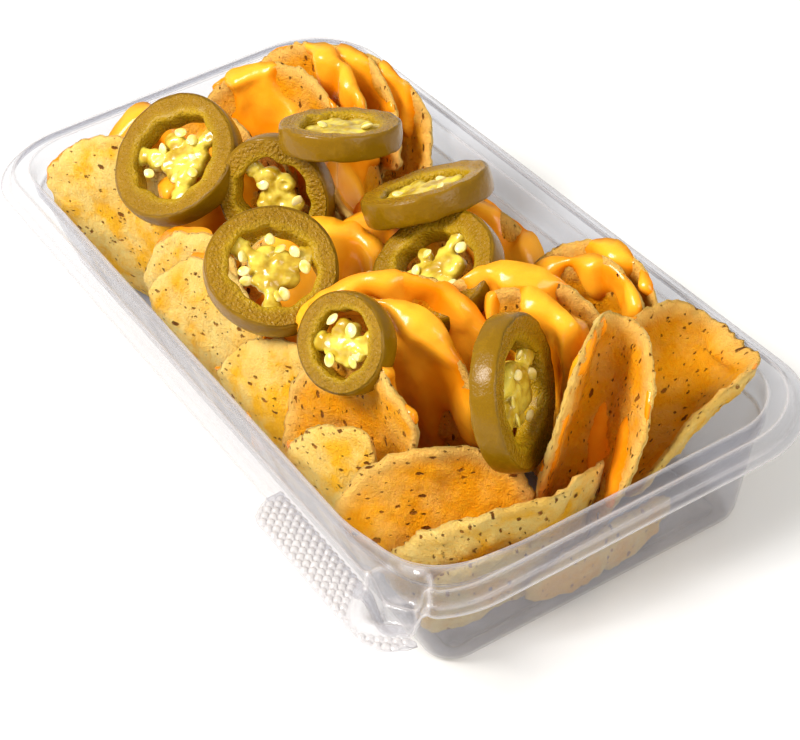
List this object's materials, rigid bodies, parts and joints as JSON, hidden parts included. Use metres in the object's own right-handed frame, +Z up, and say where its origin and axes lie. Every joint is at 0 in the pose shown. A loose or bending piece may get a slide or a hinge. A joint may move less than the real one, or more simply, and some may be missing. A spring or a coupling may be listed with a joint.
{
  "type": "nachos with cheese",
  "caption": "Round corn chips with melted cheese sauce and pickled pepper slices, heaped in a clear plastic snack tray with a lifting tab.",
  "frame": {"origin": "centre of the whole part's box in plan, at the height of the tray's base", "axes": "+Z up; the tray's long side runs along Y with its front at -Y; the lifting tab is on the -X side by the front corner"},
  "size_m": [0.1182, 0.226, 0.0682],
  "materials": {
    "clear_tray": "clear thermoformed sheet, glossy",
    "corn_chip": "fried corn, dry and lightly oiled",
    "pickled_pepper": "wet pickled pepper",
    "cheese_sauce": "warm melted sauce, glossy",
    "pepper_seed": "wet pale seed"
  },
  "bodies": {
    "root": {"tray": "clear_tray", "chip_folded": "corn_chip", "chip_corner": "corn_chip", "chip_front_wall": "corn_chip", "chip_front_left": "corn_chip", "chip_front_low": "corn_chip", "chip_left_1": "corn_chip", "chip_left_2": "corn_chip", "chip_left_3": "corn_chip", "chip_left_4": "corn_chip", "chip_left_5": "corn_chip", "chip_left_6": "corn_chip", "chip_left_7": "corn_chip", "chip_middle_1": "corn_chip", "chip_middle_2": "corn_chip", "chip_middle_3": "corn_chip", "chip_middle_4": "corn_chip", "chip_middle_5": "corn_chip", "chip_middle_6": "corn_chip", "chip_middle_7": "corn_chip", "chip_middle_8": "corn_chip", "chip_middle_9": "corn_chip", "chip_right_1": "corn_chip", "chip_right_2": "corn_chip", "chip_right_3": "corn_chip", "chip_right_4": "corn_chip", "chip_back_1": "corn_chip", "chip_back_2": "corn_chip", "chip_back_3": "corn_chip", "chip_back_4": "corn_chip", "chip_back_5": "corn_chip", "chip_back_6": "corn_chip", "chip_back_7": "corn_chip", "chip_back_8": "corn_chip", "chip_front_corner": "corn_chip", "pepper_slice_1": "pickled_pepper", "pepper_slice_2": "pickled_pepper", "pepper_slice_3": "pickled_pepper", "pepper_slice_4": "pickled_pepper", "pepper_slice_5": "pickled_pepper", "pepper_slice_6": "pickled_pepper", "pepper_slice_7": "pickled_pepper", "pepper_slice_8": "pickled_pepper"}
  },
  "joints": []
}
